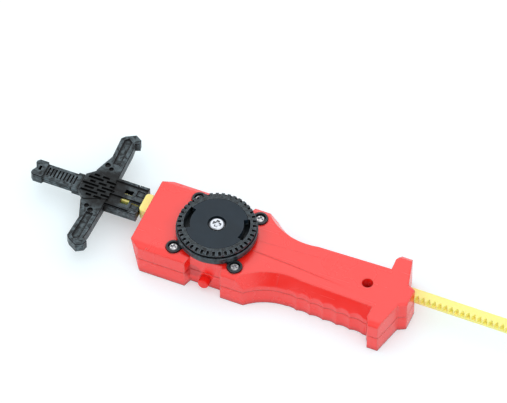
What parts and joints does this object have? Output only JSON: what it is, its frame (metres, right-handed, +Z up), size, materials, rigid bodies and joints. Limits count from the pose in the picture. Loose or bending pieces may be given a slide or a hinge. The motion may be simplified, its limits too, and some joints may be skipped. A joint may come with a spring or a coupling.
{
  "type": "spinning top launcher",
  "caption": "Sword-shaped pull launcher for spinning tops: a toothed yellow blade slides through a red two-shell grip and spins a round black driver.",
  "frame": {"origin": "on the driver's axis, at the flat face that the body lies on", "axes": "+X along the body towards its butt and the blade's tip, +Y across the body, +Z up to the driver"},
  "size_m": [0.2884, 0.0801, 0.0285],
  "materials": {
    "red_plastic": "semi-gloss moulded red plastic",
    "black_plastic": "satin black moulded plastic",
    "yellow_plastic": "satin yellow moulded plastic",
    "natural_plastic": "natural moulded plastic",
    "plated_steel": "plated steel"
  },
  "bodies": {
    "launcher": {"lower_shell": "red_plastic", "upper_shell": "red_plastic", "turntable_base": "black_plastic", "corner_screws": "plated_steel", "grip_screw": "plated_steel", "lower_bush": "natural_plastic", "upper_bush": "natural_plastic", "button_spring": "plated_steel"},
    "sword": {"rack_blade": "yellow_plastic", "hilt_upper_shell": "black_plastic", "hilt_lower_shell": "black_plastic", "hilt_screws": "plated_steel"},
    "pinion": {"drive_shaft": "plated_steel", "pinion_gear": "natural_plastic", "ratchet_wheel": "natural_plastic", "centre_washer": "plated_steel", "centre_screw": "plated_steel"},
    "driver": {"driver_disc": "black_plastic", "driver_rim": "black_plastic", "pawl_ring": "black_plastic"},
    "button": {"lock_button": "red_plastic"}
  },
  "joints": [
    {"name": "sword_slide", "type": "slide", "parent": "launcher", "child": "sword", "axis": [-1, 0, 0], "range_m": [0, 0.222]},
    {"name": "pinion_spin", "type": "hinge", "parent": "launcher", "child": "pinion", "pos_m": [0, 0, 0.0115], "axis": [0, 0, 1], "continuous": true},
    {"name": "driver_freewheel", "type": "hinge", "parent": "pinion", "child": "driver", "pos_m": [0, 0, 0.0265], "axis": [0, 0, 1], "continuous": true},
    {"name": "button_press", "type": "slide", "parent": "launcher", "child": "button", "axis": [0, 1, 0], "range_m": [0, 0.002], "stiffness_N_per_m": 400, "deforming": ["button_spring"]}
  ],
  "couplings": [
    {"joint": "pinion_spin", "follows": "sword_slide", "rad_per_m": 166.67}
  ]
}
